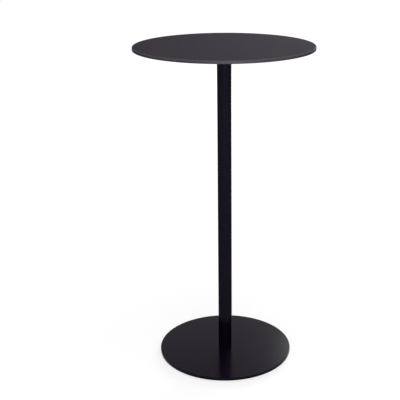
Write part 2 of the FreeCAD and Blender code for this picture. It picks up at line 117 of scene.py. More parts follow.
# %% [markdown]
# ## White surroundings
#
# The picture's background is plain white. A white floor that is only lit would need so much light that
# the table would wash out. Instead the floor and the world glow near strength 1 where the camera, or a
# reflection, looks at them, and light the table at a gentler level. The floor is still a matt surface
# too. Near the table the lamps light it well, so it glows less there and keeps a faint shadow. Far off,
# where little light falls, it glows more. The world stands for a white wall all round with a dimmer
# ceiling, which the satin base plate mirrors: its back shows the wall, and its front, seen more
# steeply, begins to show the ceiling.

# %% Make the white surroundings
AMBIENT_LIGHT = 0.25
WALL_STRENGTH, CEILING_STRENGTH = 1.0, 0.55
WALL_TOP, CEILING_EDGE = math.radians(26.0), math.radians(31.5)
FLOOR_HALF_WIDTH = 12.0
FLOOR_GLOW_NEAR, FLOOR_GLOW_FAR = 0.75, 0.97
GLOW_FROM, GLOW_TO = 0.5, 3.0
FLOOR_MATT_LIGHTING, FLOOR_MATT_SEEN = 0.4, 0.3
WHITE = (1.0, 1.0, 1.0, 1.0)


def seen_directly(tree):
    """Socket that is 1 for camera, glossy and transmission rays and 0 for rays that only carry light."""
    path = tree.nodes.new("ShaderNodeLightPath")
    total = path.outputs["Is Camera Ray"]
    for kind in ("Is Glossy Ray", "Is Transmission Ray"):
        larger = tree.nodes.new("ShaderNodeMath")
        larger.operation = "MAXIMUM"
        tree.links.new(total, larger.inputs[0])
        tree.links.new(path.outputs[kind], larger.inputs[1])
        total = larger.outputs[0]
    return total


def by_ray(tree, lighting, seen):
    """Socket with a plain value for the rays that only carry light, and with the seen socket's value for
    those that see."""
    choice = tree.nodes.new("ShaderNodeMapRange")
    choice.inputs["To Min"].default_value = lighting
    tree.links.new(seen, choice.inputs["To Max"])
    tree.links.new(seen_directly(tree), choice.inputs["Value"])
    return choice.outputs["Result"]


def between(tree, value, start, end, first, last):
    """Socket that runs from first to last while the value runs from start to end, and stays level
    outside."""
    span = tree.nodes.new("ShaderNodeMapRange")
    names = ("From Min", "From Max", "To Min", "To Max")
    for name, number in zip(names, (start, end, first, last)):
        span.inputs[name].default_value = number
    tree.links.new(value, span.inputs["Value"])
    return span.outputs["Result"]


def distance_out(tree):
    """Socket with the distance of a point on the floor from the column's axis."""
    place = tree.nodes.new("ShaderNodeTexCoord")
    distance = tree.nodes.new("ShaderNodeVectorMath")
    distance.operation = "LENGTH"
    tree.links.new(place.outputs["Object"], distance.inputs[0])
    return distance.outputs["Value"]


def rise(tree):
    """Socket with the sine of a direction's elevation: the height of that direction on a unit sphere."""
    direction = tree.nodes.new("ShaderNodeTexCoord")
    parts = tree.nodes.new("ShaderNodeSeparateXYZ")
    tree.links.new(direction.outputs["Generated"], parts.inputs["Vector"])
    return parts.outputs["Z"]


world = bpy.data.worlds.new("studio")
world.use_nodes = True
studio = world.node_tree
sky = studio.nodes["Background"]
sky.inputs["Color"].default_value = WHITE
wall_and_ceiling = between(
    studio,
    rise(studio),
    start=math.sin(WALL_TOP),
    end=math.sin(CEILING_EDGE),
    first=WALL_STRENGTH,
    last=CEILING_STRENGTH,
)
studio.links.new(by_ray(studio, AMBIENT_LIGHT, wall_and_ceiling), sky.inputs["Strength"])
scene.world = world

paper = bpy.data.materials.new("floor_paper")
paper.use_nodes = True
paper_tree = paper.node_tree
paper_shader = paper_tree.nodes["Principled BSDF"]
paper_shader.inputs["Roughness"].default_value = 1.0
paper_shader.inputs["Specular IOR Level"].default_value = 0.0
paper_shader.inputs["Emission Color"].default_value = WHITE
matt = between(
    paper_tree,
    seen_directly(paper_tree),
    start=0.0,
    end=1.0,
    first=FLOOR_MATT_LIGHTING,
    last=FLOOR_MATT_SEEN,
)
glow = between(
    paper_tree,
    distance_out(paper_tree),
    start=GLOW_FROM,
    end=GLOW_TO,
    first=FLOOR_GLOW_NEAR,
    last=FLOOR_GLOW_FAR,
)
glow_where_seen = by_ray(paper_tree, lighting=0.0, seen=glow)
paper_tree.links.new(matt, paper_shader.inputs["Base Color"])
paper_tree.links.new(glow_where_seen, paper_shader.inputs["Emission Strength"])

corners = FLOOR_HALF_WIDTH * np.array([(-1, -1, 0), (1, -1, 0), (1, 1, 0), (-1, 1, 0)])
floor_mesh = bpy.data.meshes.new("floor")
floor_mesh.from_pydata(corners, [], [(0, 1, 2, 3)])
floor_mesh.materials.append(paper)
floor = bpy.data.objects.new("floor", floor_mesh)
scene.collection.objects.link(floor)
print(f"floor {2 * FLOOR_HALF_WIDTH:.0f} m wide, glow {FLOOR_GLOW_NEAR} near and {FLOOR_GLOW_FAR} far off")

# %% [markdown]
# ## Soft lamps
#
# The front edge of the top is brighter than its face, so a wide lamp stands in front, near the camera.
# The right side and the back of both discs are a little lighter than the left, so a second wide lamp
# stands far behind on the right, where the flat faces mirror it. It is stronger only because it is
# farther off. A third lamp hangs overhead, so that faces that look up get about as much light as the
# front, and a colour renders about as it was mixed.

# %% Hang the lamps
TABLE_MIDDLE = Vector((0.0, 0.0, 0.7))


def softbox(name, place, width, power):
    """Square lamp of that width in metres, turned to face the middle of the table."""
    lamp = bpy.data.lights.new(name, "AREA")
    lamp.shape = "SQUARE"
    lamp.size = width
    lamp.energy = power
    hung = bpy.data.objects.new(name, lamp)
    hung.location = place
    hung.rotation_euler = (TABLE_MIDDLE - Vector(place)).to_track_quat("-Z", "Y").to_euler()
    scene.collection.objects.link(hung)
    return hung


lamps = [
    softbox("front_lamp", place=(0.7, -3.4, 2.1), width=3.6, power=112.0),
    softbox("back_right_lamp", place=(1.95, 4.8, 2.04), width=2.4, power=208.0),
    softbox("overhead_lamp", place=(0.0, -0.3, 3.6), width=2.0, power=27.0),
]
print("lamps:", [(lamp.name, lamp.data.energy) for lamp in lamps])

# %% [markdown]
# ## Patterns that finishes are made of
#
# No finish on such a table is one flat colour: paint dries with a faint ripple, a laminate is pressed
# against a grained sheet and plating is cloudy. Pictures could be wrapped round each piece, but the
# patterns here are worked out from the place of each point on the piece, so they need no files and have
# no seams.

# %% Tools for finishes
NOISE_SPAN = (0.3, 0.7)
MICRON = 1e-6
MIRROR_SHARE, GRAZING_SHARE = 0.7, 0.3


def new_finish(name, roughness, level=0.5, metallic=0.0, grazing=1.0):
    """Finish with one Principled shader that holds those plain values. Its patterns are linked in later.
    On a metal, a grazing value below 1 dims what the finish mirrors where it is seen almost edge-on."""
    finish = bpy.data.materials.new(name)
    finish.use_nodes = True
    shader = finish.node_tree.nodes["Principled BSDF"]
    shader.inputs["Roughness"].default_value = roughness
    shader.inputs["Specular IOR Level"].default_value = level
    shader.inputs["Metallic"].default_value = metallic
    shader.inputs["Specular Tint"].default_value = (grazing, grazing, grazing, 1.0)
    return finish


def grain(finish, per_metre, detail, stretch=(1.0, 1.0, 1.0)):
    """Noise in the piece's own metres, between 0 and 1, with that many grains to a metre. A stretch below
    1 along an axis draws the grain out, and one above 1 squeezes it."""
    tree = finish.node_tree
    place = tree.nodes.new("ShaderNodeTexCoord")
    mapping = tree.nodes.new("ShaderNodeMapping")
    mapping.inputs["Scale"].default_value = stretch
    noise = tree.nodes.new("ShaderNodeTexNoise")
    noise.inputs["Scale"].default_value = per_metre
    noise.inputs["Detail"].default_value = detail
    tree.links.new(place.outputs["Object"], mapping.inputs["Vector"])
    tree.links.new(mapping.outputs["Vector"], noise.inputs["Vector"])
    return noise.outputs["Fac"]


def colour_between(finish, pattern, dark, light):
    """Base colour that runs from dark to light as the pattern runs over noise's usual span."""
    tree = finish.node_tree
    ramp = tree.nodes.new("ShaderNodeValToRGB")
    for stop, place, colour in zip(ramp.color_ramp.elements, NOISE_SPAN, (dark, light)):
        stop.position = place
        stop.color = (*colour, 1.0)
    tree.links.new(pattern, ramp.inputs["Fac"])
    tree.links.new(ramp.outputs["Color"], tree.nodes["Principled BSDF"].inputs["Base Color"])


def roughness_between(finish, pattern, smooth, rough):
    """Roughness that runs from smooth to rough as the pattern runs over noise's usual span."""
    tree = finish.node_tree
    roughness = between(tree, pattern, *NOISE_SPAN, smooth, rough)
    tree.links.new(roughness, tree.nodes["Principled BSDF"].inputs["Roughness"])


def added(finish, wide, fine, fine_share):
    """Pattern that is the wide one plus a share of the fine one."""
    tree = finish.node_tree
    total = tree.nodes.new("ShaderNodeMath")
    total.operation = "MULTIPLY_ADD"
    total.inputs[1].default_value = fine_share
    tree.links.new(fine, total.inputs[0])
    tree.links.new(wide, total.inputs[2])
    return total.outputs["Value"]


def relief(finish, pattern, depth):
    """Fine relief of that depth in metres, which tilts the light but not the surface itself."""
    tree = finish.node_tree
    bump = tree.nodes.new("ShaderNodeBump")
    bump.inputs["Distance"].default_value = depth
    tree.links.new(pattern, bump.inputs["Height"])
    tree.links.new(bump.outputs["Normal"], tree.nodes["Principled BSDF"].inputs["Normal"])


# %% [markdown]
# ## Laminate for the top
#
# The top is a compact laminate: many sheets of black paper pressed into a hard board, with a matt
# grained sheet on both faces. Its cut edge is smoother than its faces and shows the sheets as very
# faint lines. The rounding above the edge catches light as a thin light line, painted into its colour
# as a lighter grey. So the faces, the edge and the rim with its painted highlight get a finish each, and
# the lines on the edge come from noise that is squeezed along the height. In the picture the edge is
# brightest in the middle of the front and fades fast to both sides. A matt grey fades too slowly, so
# most of the edge is a rough dark mirror, which shows the front lamp in the middle and the wall beside it.

# %% Mix the laminate finishes
laminate_face = new_finish("laminate_face", roughness=0.92, level=0.04)
face_grain = grain(laminate_face, per_metre=420, detail=4)
colour_between(laminate_face, face_grain, dark=(0.0207, 0.0163, 0.0241), light=(0.0259, 0.0205, 0.0299))
roughness_between(laminate_face, grain(laminate_face, per_metre=150, detail=3), smooth=0.89, rough=0.95)
relief(laminate_face, grain(laminate_face, per_metre=1900, detail=3), depth=14 * MICRON)

laminate_edge = new_finish(
    "laminate_edge", roughness=0.45, level=0.015, metallic=MIRROR_SHARE, grazing=GRAZING_SHARE
)
paper_sheets = grain(laminate_edge, per_metre=60, detail=2, stretch=(1.0, 1.0, 40.0))
saw_marks = grain(laminate_edge, per_metre=700, detail=2, stretch=(1.0, 1.0, 6.0))
colour_between(laminate_edge, paper_sheets, dark=(0.0469, 0.042, 0.0504), light=(0.0672, 0.0595, 0.0728))
roughness_between(laminate_edge, grain(laminate_edge, per_metre=90, detail=2), smooth=0.43, rough=0.47)
relief(laminate_edge, saw_marks, depth=6 * MICRON)

# The rim's lighter grey is a painted highlight, standing for the light that the upper rounding catches.
laminate_rim_painted_highlight = new_finish("laminate_rim_painted_highlight", roughness=0.6, level=0.01)
rim_highlight_grain = grain(laminate_rim_painted_highlight, per_metre=500, detail=3)
colour_between(laminate_rim_painted_highlight, rim_highlight_grain, dark=(0.082, 0.072, 0.089), light=(0.104, 0.092, 0.112))
roughness_between(laminate_rim_painted_highlight, grain(laminate_rim_painted_highlight, per_metre=300, detail=2), smooth=0.56, rough=0.64)
relief(laminate_rim_painted_highlight, grain(laminate_rim_painted_highlight, per_metre=1400, detail=2), depth=6 * MICRON)
print("laminate:", laminate_face.name, laminate_edge.name, laminate_rim_painted_highlight.name)

# %% [markdown]
# ## Black powder coat
#
# The column, the base plate and the hidden plate are powder coated. The powder melts into a satin skin
# with a ripple like the skin of an orange, a few millimetres from crest to crest. A plain roughness
# would blur reflections evenly, so two noises are added up: a wide one for the ripple and a fine one
# for the grains of powder. In the picture the column stays dark right up to its sides, where a plain
# coat would mirror the white background. So the column's coat is mostly a dark metal, whose mirror is
# dimmed at a grazing view.


# %% Mix the powder coats
def coat(name, dark, light, metallic=0.0, grazing=1.0):
    """Satin powder coat between two colours, with ripple and grains."""
    finish = new_finish(name, roughness=0.18, level=0.059, metallic=metallic, grazing=grazing)
    colour_between(finish, grain(finish, per_metre=55, detail=3), dark, light)
    roughness_between(finish, grain(finish, per_metre=14, detail=4), smooth=0.17, rough=0.19)
    ripple = grain(finish, per_metre=320, detail=1)
    powder_grains = grain(finish, per_metre=2400, detail=2)
    relief(finish, added(finish, ripple, powder_grains, fine_share=0.12), depth=16 * MICRON)
    return finish


powder_coat = coat("powder_coat", dark=(0.0037, 0.0013, 0.0064), light=(0.0049, 0.0018, 0.0086))
column_coat = coat(
    "column_coat",
    dark=(0.0079, 0.0061, 0.0107),
    light=(0.0093, 0.0071, 0.0125),
    metallic=MIRROR_SHARE,
    grazing=GRAZING_SHARE,
)
print("powder coats:", powder_coat.name, column_coat.name)

# %% [markdown]
# ## Metals and plastic of the small parts
#
# Below the table are zinc-plated studs, washers and a nut, black screws, brass inserts and nylon pads.
# They are small and mostly in the shade, but they are what a person sees who turns the table over. Each
# metal is a tinted mirror with a cloudy roughness. The nylon is a plain plastic with the fine sparkle
# that a mould leaves.

# %% Mix the metals and the nylon
zinc = new_finish("zinc_plate", roughness=0.32, metallic=1.0)
zinc_clouds = grain(zinc, per_metre=160, detail=3)
colour_between(zinc, zinc_clouds, dark=(0.50, 0.53, 0.57), light=(0.66, 0.66, 0.63))
roughness_between(zinc, grain(zinc, per_metre=300, detail=2), smooth=0.24, rough=0.4)
relief(zinc, grain(zinc, per_metre=2600, detail=2), depth=3 * MICRON)

black_screw = new_finish("black_oxide", roughness=0.42, metallic=1.0)
screw_clouds = grain(black_screw, per_metre=500, detail=3)
colour_between(black_screw, screw_clouds, dark=(0.020, 0.020, 0.023), light=(0.042, 0.041, 0.043))
roughness_between(black_screw, grain(black_screw, per_metre=700, detail=2), smooth=0.36, rough=0.5)

bare_steel = new_finish("bare_steel", roughness=0.35, metallic=1.0)
steel_clouds = grain(bare_steel, per_metre=220, detail=4)
steel_streaks = grain(bare_steel, per_metre=500, detail=2, stretch=(1.0, 1.0, 0.1))
colour_between(bare_steel, steel_clouds, dark=(0.36, 0.35, 0.34), light=(0.5, 0.5, 0.5))
roughness_between(bare_steel, steel_streaks, smooth=0.28, rough=0.44)

brass = new_finish("turned_brass", roughness=0.28, metallic=1.0)
brass_clouds = grain(brass, per_metre=200, detail=3)
turning_marks = grain(brass, per_metre=900, detail=2, stretch=(0.1, 0.1, 1.0))
colour_between(brass, brass_clouds, dark=(0.66, 0.47, 0.19), light=(0.80, 0.62, 0.30))
roughness_between(brass, turning_marks, smooth=0.22, rough=0.36)

nylon = new_finish("moulded_nylon", roughness=0.5, level=0.4)
nylon_grain = grain(nylon, per_metre=350, detail=3)
colour_between(nylon, nylon_grain, dark=(0.016, 0.016, 0.017), light=(0.026, 0.026, 0.027))
roughness_between(nylon, grain(nylon, per_metre=120, detail=3), smooth=0.44, rough=0.56)
relief(nylon, grain(nylon, per_metre=3000, detail=2), depth=8 * MICRON)

finish_of_slot = {
    "top_laminate": laminate_face,
    "black_powder_coat": powder_coat,
    "black_steel": black_screw,
    "plain_steel": bare_steel,
    "zinc_steel": zinc,
    "brass": brass,
    "nylon": nylon,
}
print("finishes:", sorted(finish.name for finish in finish_of_slot.values()))

# %% [markdown]
# ## Paint the solid parts
#
# The CAD gave each solid part a material slot, named after its finish. Where a part's shape is already
# right, such as the hub, it only needs the better finish in that slot.

# %% Paint the solid parts
for name, node in nodes.items():
    node.material_slots[0].material = finish_of_slot[slot_of[name]]
print("painted", len(nodes), "solid parts")

# %% [markdown]
# ## Profiles, grids and pieces
#
# Nearly every other piece is round, so its surface is a profile carried round an axis. The Spin tool
# could do that for one object at a time. Here numpy works out the whole grid of points at once, because
# one formula then also gives a hexagon, a thread or a fluted rim: the radius simply depends on the
# angle as well.

# %% Tools for pieces
MM = 0.001
ARC_STEPS = 6
GUARD = 0.06 * MM
CREASE = math.radians(35)
FULL_TURN = 2 * math.pi


def unit(vector):
    """The vector at length 1."""
    return vector / np.linalg.norm(vector)


def rounded(corners, closed=False, guard=GUARD):
    """Outline (across, up) through corners (across, up, rounding). A rounding is an arc that touches both
    sides: its centre lies on the corner's bisector, at rounding / sin(half the corner's angle). A guard
    point just past each end of the arc keeps the flat sides flat when they are shaded smooth."""
    corners = np.asarray(corners, float)
    pieces = []
    for number, (across, up, rounding) in enumerate(corners):
        corner = np.array([across, up])
        if rounding == 0 or not (closed or 0 < number < len(corners) - 1):
            pieces.append(corner[None])
            continue
        back = unit(corners[number - 1, :2] - corner)
        ahead = unit(corners[(number + 1) % len(corners), :2] - corner)
        half = np.arccos(back @ ahead) / 2
        reach = rounding / np.tan(half)
        centre = corner + unit(back + ahead) * rounding / np.sin(half)
        start, end = (np.arctan2(*(corner + side * reach - centre)[::-1]) for side in (back, ahead))
        sweep = (end - start + math.pi) % FULL_TURN - math.pi
        angle = start + sweep * np.linspace(0.0, 1.0, ARC_STEPS + 1)
        arc = centre + rounding * np.stack([np.cos(angle), np.sin(angle)], axis=-1)
        guards = corner + (reach + guard) * np.stack([back, ahead])
        pieces += [guards[:1], arc, guards[1:]] if guard else [arc]
    return np.concatenate(pieces).T


def round_angles(sectors):
    """Angles of that many equal steps once round, without the last, which would repeat the first."""
    return np.arange(sectors) * FULL_TURN / sectors


def turned(radius, height, sectors, axis=(0.0, 0.0)):
    """Grid of points (x + r cos a, y + r sin a, z). The radius r and height z have a row for each step of
    the profile, and may change with the angle a too, which has a column for each sector."""
    radius, height = (value if value.ndim == 2 else value[:, None] for value in (radius, height))
    radius, height, angle = np.broadcast_arrays(radius, height, round_angles(sectors))
    x = axis[0] + radius * np.cos(angle)
    y = axis[1] + radius * np.sin(angle)
    return np.stack([x, y, height], axis=-1)


def closed_shell(grid, ring=False):
    """Points and faces of a closed surface. Corner (i, j) of the grid joins (i, j + 1), (i + 1, j + 1) and
    (i + 1, j). A ring joins its last row to its first. Any other grid gets a fan of triangles to the
    middle of each end row."""
    rows, columns = grid.shape[:2]
    here = np.arange(columns)
    beside = (here + 1) % columns
    row = np.arange(rows if ring else rows - 1)[:, None] * columns
    above = (row + columns) % (rows * columns)
    sides = np.broadcast_arrays(row + here, row + beside, above + beside, above + here)
    points, faces = grid.reshape(-1, 3), np.stack(sides, axis=-1).reshape(-1, 4).tolist()
    if not ring:
        foot, head = np.full(columns, rows * columns), np.full(columns, rows * columns + 1)
        last = (rows - 1) * columns
        faces += np.stack([foot, beside, here], axis=-1).tolist()
        faces += np.stack([head, last + here, last + beside], axis=-1).tolist()
        points = np.concatenate([points, grid[[0, -1]].mean(axis=1)])
    return points, faces


def shade(mesh):
    """Shades a mesh smooth, apart from the edges that turn more sharply than a crease."""
    mesh.shade_smooth()
    mesh.set_sharp_from_angle(angle=CREASE)


def add_piece(name, shell, node_name, finish=None):
    """Object that stands for a solid part: it hides that part, rides its body and takes its slot, and its
    finish too unless another is given."""
    points, faces = shell
    mesh = bpy.data.meshes.new(name)
    mesh.from_pydata(points, [], faces)
    mesh.materials.append(finish or finish_of_slot[slot_of[node_name]])
    shade(mesh)
    piece = bpy.data.objects.new(name, mesh)
    scene.collection.objects.link(piece)
    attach(piece, body_of[node_name])
    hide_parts(node_name)
    print(f"{name}: {len(points)} points, {len(faces)} faces")
    return piece


# %% [markdown]
# ## Holes off the axis
#
# Some pieces have holes beside their axis, which no profile can give. They are drilled as in a
# workshop: a Boolean modifier takes a cylinder away at each place, and the result becomes the piece's
# own mesh.

# %% A drill
HOLE_SECTORS = 40


def drill(piece, places, radius, low, high):
    """Takes a cylinder of that radius, between two heights, out of the piece at each place (x, y)."""
    ends = np.array([radius, radius]), np.array([low, high])
    points, faces = [], []
    for place in places:
        bit_points, bit_faces = closed_shell(turned(*ends, HOLE_SECTORS, place))
        first = len(points) * len(bit_points)
        faces += [[first + corner for corner in face] for face in bit_faces]
        points.append(bit_points)
    bits = bpy.data.meshes.new("bits")
    bits.from_pydata(np.concatenate(points), [], faces)
    cutter = bpy.data.objects.new("bits", bits)
    scene.collection.objects.link(cutter)
    cut = piece.modifiers.new("holes", "BOOLEAN")
    cut.object = cutter
    cut.solver = "EXACT"
    whole = piece.data
    drilled = piece.evaluated_get(bpy.context.evaluated_depsgraph_get())
    piece.data = bpy.data.meshes.new_from_object(drilled)
    piece.modifiers.clear()
    shade(piece.data)
    bpy.data.objects.remove(cutter)
    bpy.data.meshes.remove(bits)
    bpy.data.meshes.remove(whole)
    print(f"{piece.name}: drilled {len(places)} holes, {len(piece.data.polygons)} faces")


def four_ways(*reaches):
    """Places at those reaches from the axis along +X, +Y, -X and -Y."""
    sides = ((1, 0), (0, 1), (-1, 0), (0, -1))
    return [(reach * x, reach * y) for reach in reaches for x, y in sides]


# %% [markdown]
# ## The top
#
# The top is one disc with a softened rim: a larger rounding above, where hands and sleeves rub, and a
# smaller one below. A cylinder with a Bevel modifier would do, but a profile lets the two faces, the
# edge and the rim above it, with its painted highlight, carry a finish each, ring by ring.

# %% Turn the top
TOP_SECTORS = 192
UPPER_ROUNDING = 2.0 * MM
LOWER_ROUNDING = 1.0 * MM
SCREW_REACHES = (140.0 * MM, 84.0 * MM)
INSERT_RADIUS = 4.55 * MM
TOP_SKIN = 2.0 * MM
HOLE_LEAD = 1.0 * MM


def inner_radius(node_name):
    """Largest radius about the column's axis that stays inside a solid part's box."""
    low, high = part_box(node_name)
    return min(high.x, high.y, -low.x, -low.y)


top_low, top_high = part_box("table_top")
top_radius = inner_radius("table_top")
top_corners = [
    (0.0, top_low.z, 0.0),
    (top_radius, top_low.z, LOWER_ROUNDING),
    (top_radius, top_high.z, UPPER_ROUNDING),
    (0.0, top_high.z, 0.0),
]
across, up = rounded(top_corners)[:, 1:-1]
top = add_piece("laminate_top", closed_shell(turned(across, up, TOP_SECTORS)), "table_top", laminate_face)
top.data.materials.append(laminate_edge)
top.data.materials.append(laminate_rim_painted_highlight)
middle_of_face = np.empty(3 * len(top.data.polygons))
top.data.polygons.foreach_get("center", middle_of_face)
middle_of_face = middle_of_face.reshape(-1, 3)
on_edge = np.hypot(*middle_of_face[:, :2].T) > top_radius - UPPER_ROUNDING
# Faces on the upper rounding take the rim finish, whose lighter grey is a painted highlight.
on_rim = on_edge & (middle_of_face[:, 2] > top_high.z - UPPER_ROUNDING)
top.data.polygons.foreach_set("material_index", on_edge.astype(np.int32) + on_rim)
drill(top, four_ways(*SCREW_REACHES), INSERT_RADIUS, top_low.z - HOLE_LEAD, top_high.z - TOP_SKIN)
print(f"top {2 * top_radius:.3f} m across, {on_edge.sum()} faces on its edge, {on_rim.sum()} on the rim")

# %% [markdown]
# ## The column
#
# The column is a plain round tube, clamped between the base and the top plate by a rod inside it. Its
# ends were deburred before coating, so they carry a tiny rounding. The profile is a closed ring of four
# rounded corners, and the grid therefore closes in both directions, like a very tall tyre.

# %% Turn the column
COLUMN_SECTORS = 128
TUBE_WALL = 2.0 * MM
DEBURRED = 0.4 * MM

column_low, column_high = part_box("column_tube")
column_radius = column_high.x
bore_radius = column_radius - TUBE_WALL
column_corners = [
    (bore_radius, column_low.z, DEBURRED),
    (column_radius, column_low.z, DEBURRED),
    (column_radius, column_high.z, DEBURRED),
    (bore_radius, column_high.z, DEBURRED),
]
column_profile = rounded(column_corners, closed=True)
column_shell = closed_shell(turned(*column_profile, COLUMN_SECTORS), ring=True)
add_piece("round_column", column_shell, "column_tube", column_coat)
print(f"column {2 * column_radius:.4f} m across, {column_high.z - column_low.z:.3f} m long")

# %% [markdown]
# ## The base plate
#
# The base is a thick steel disc, by far the heaviest part of the table. Its rims were rounded before it
# was coated. From below it has a hole for the rod, a recess that hides the nut, two holes for the pins
# that stop the column from turning, and four blind holes for the levelling studs. The first two are
# turned, the rest are drilled.

# %% Turn and drill the base plate
BASE_SECTORS = 192
BASE_RIM = 1.2 * MM
ROD_HOLE = 5.5 * MM
RECESS_RADIUS = 12.0 * MM
RECESS_DEPTH = 4.0 * MM
PIN_REACH = 15.5 * MM
PIN_HOLE = 2.05 * MM
STUD_REACH = 200.0 * MM
STUD_HOLE = 4.15 * MM
BASE_SKIN = 2.0 * MM

base_low, base_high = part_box("base_plate")
base_radius = inner_radius("base_plate")
base_corners = [
    (RECESS_RADIUS, base_low.z, 0.0),
    (base_radius, base_low.z, BASE_RIM),
    (base_radius, base_high.z, BASE_RIM),
    (ROD_HOLE, base_high.z, 0.0),
    (ROD_HOLE, base_low.z + RECESS_DEPTH, 0.0),
    (RECESS_RADIUS, base_low.z + RECESS_DEPTH, 0.0),
]
base_profile = rounded(base_corners, closed=True)
base_shell = closed_shell(turned(*base_profile, BASE_SECTORS), ring=True)
base = add_piece("round_base", base_shell, "base_plate")
pin_places = [(PIN_REACH, 0.0), (-PIN_REACH, 0.0)]
drill(base, four_ways(STUD_REACH), STUD_HOLE, base_low.z - HOLE_LEAD, base_high.z - BASE_SKIN)
drill(base, pin_places, PIN_HOLE, base_low.z - HOLE_LEAD, base_high.z + HOLE_LEAD)
print(f"base {2 * base_radius:.3f} m across")

# %% [markdown]
# ## The plate under the top
#
# Below the top sits a flat plate with four arms, cut from sheet and coated. It could be a flat outline
# with a Solidify modifier. Here the outline of one arm and a quarter of the middle disc is turned four
# times, and the rounded edge of the sheet is carried along it: each row of the grid is the outline,
# moved in by the edge's rounding.

# %% Cut the top plate
ARM_HALF_WIDTH = 23.0 * MM
ARM_CORNER = 14.0 * MM
DISC_RADIUS = 60.0 * MM
SHEET_EDGE = 0.6 * MM
EDGE_INSET = 2.0 * MM
DISC_STEPS = 24
SCREW_HOLE_RADIUS = 3.3 * MM
SPIGOT_RADIUS = 10.05 * MM


def plate_outline(reach):
    """Plan outline as (points, 2): an arm with two rounded corners, then an arc of the disc, turned to
    four sides."""
    root = math.sqrt(DISC_RADIUS**2 - ARM_HALF_WIDTH**2)
    arm_corners = [
        (root, -ARM_HALF_WIDTH, 0.0),
        (reach, -ARM_HALF_WIDTH, ARM_CORNER),
        (reach, ARM_HALF_WIDTH, ARM_CORNER),
        (root, ARM_HALF_WIDTH, 0.0),
    ]
    start = math.atan2(ARM_HALF_WIDTH, root)
    angle = np.linspace(start, math.pi / 2 - start, DISC_STEPS)[1:-1]
    arm = rounded(arm_corners, guard=0.0).T
    disc = DISC_RADIUS * np.stack([np.cos(angle), np.sin(angle)], axis=-1)
    side = np.concatenate([arm, disc])
    quarter_turn = np.array([[0.0, 1.0], [-1.0, 0.0]])
    return np.concatenate([side @ np.linalg.matrix_power(quarter_turn, turns) for turns in range(4)])


def moved_in(outline, inset):
    """Outline moved in by each inset: every point goes against the outward normal of the line through
    its two neighbours. The result has a row for each inset."""
    along = np.roll(outline, -1, axis=0) - np.roll(outline, 1, axis=0)
    outward = np.stack([along[:, 1], -along[:, 0]], axis=-1)
    outward /= np.linalg.norm(outward, axis=-1, keepdims=True)
    return outline - inset[:, None, None] * outward


plate_low, plate_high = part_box("top_plate")
edge_corners = [
    (-EDGE_INSET, plate_low.z, 0.0),
    (0.0, plate_low.z, SHEET_EDGE),
    (0.0, plate_high.z, SHEET_EDGE),
    (-EDGE_INSET, plate_high.z, 0.0),
]
across, up = rounded(edge_corners)
plan = moved_in(plate_outline(plate_high.x), -across)
heights = np.broadcast_to(up[:, None, None], (*plan.shape[:2], 1))
plate = add_piece("four_arm_plate", closed_shell(np.concatenate([plan, heights], axis=-1)), "top_plate")
through_plate = plate_low.z - HOLE_LEAD, plate_high.z + HOLE_LEAD
drill(plate, four_ways(*SCREW_REACHES), SCREW_HOLE_RADIUS, *through_plate)
drill(plate, [(0.0, 0.0)], SPIGOT_RADIUS, *through_plate)
print(f"plate {2 * plate_high.x:.3f} m across its arms")

# %% [markdown]
# ## Threads
#
# A bolt's thread is one groove wound round it. The Screw modifier could wind it, but the ends are then
# hard to close. Here the radius of a turned grid drops with the depth of the groove: the groove's phase
# is the height in pitches less the angle in turns, so the groove climbs by one pitch in each turn, as a
# right-hand thread does.

# %% Tools for threads
DEPTH_IN_PITCHES = 0.6134
CREST_HALF, ROOT_HALF = 1 / 16, 1 / 8
ROWS_PER_PITCH = 10


def groove(turns):
    """Depth of the groove from 0 at the crest to 1 at the root: a flat crest an eighth of a pitch wide,
    two straight flanks, and a flat root a quarter of a pitch wide."""
    from_root = np.abs(turns % 1.0 - 0.5)
    flank = 0.5 - CREST_HALF - ROOT_HALF
    return np.clip((0.5 - CREST_HALF - from_root) / flank, 0.0, 1.0)


def threaded(radius, height, pitch, sectors):
    """Grid of radii for a thread along the heights:
    radius - depth * groove(height / pitch - angle / full turn)."""
    turns = height[:, None] / pitch - round_angles(sectors) / FULL_TURN
    return radius - DEPTH_IN_PITCHES * pitch * groove(turns)


def thread_rows(low, high, pitch):
    """Heights for a thread from low to high, with at least ROWS_PER_PITCH rows to a pitch."""
    return np.linspace(low, high, math.ceil((high - low) / pitch * ROWS_PER_PITCH) + 1)


# %% [markdown]
# ## The tie rod
#
# A long rod inside the column pulls everything together. It screws into the hub at the top and takes a
# nut below the base, so only its two ends are threaded, and both are bevelled so that the nut starts
# easily. The plain shank between them is just the step from the last row of one thread to the first of
# the other.

# %% Turn the tie rod
ROD_SECTORS = 48
ROD_PITCH = 1.5 * MM
ROD_BEVEL = 1.2 * MM
FOOT_THREAD, HEAD_THREAD = 36.0 * MM, 34.0 * MM

rod_low, rod_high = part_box("tie_rod")
rod_radius = rod_high.x
foot_rows = thread_rows(rod_low.z, rod_low.z + FOOT_THREAD, ROD_PITCH)
head_rows = thread_rows(rod_high.z - HEAD_THREAD, rod_high.z, ROD_PITCH)
rod_height = np.concatenate([foot_rows, head_rows])
thread_length = np.repeat([FOOT_THREAD, HEAD_THREAD], [len(foot_rows), len(head_rows)])
from_end = np.minimum(rod_height - rod_low.z, rod_high.z - rod_height)
runs_out = np.clip((thread_length - from_end) / ROD_PITCH, 0.0, 1.0)
cut = rod_radius - threaded(rod_radius, rod_height, ROD_PITCH, ROD_SECTORS)
bevelled = (rod_radius - ROD_BEVEL + from_end)[:, None]
rod = np.minimum(rod_radius - runs_out[:, None] * cut, bevelled)
add_piece("threaded_rod", closed_shell(turned(rod, rod_height, ROD_SECTORS)), "tie_rod")

# %% [markdown]
# ## Hexagons
#
# A nut and the collar of a levelling stud are hexagons whose corners were turned off by a cone on both
# faces. That cut leaves the curved lines that every nut has on its flats. With the radius as a function
# of the angle, the cone only lowers the height where the radius reaches past the face's circle.

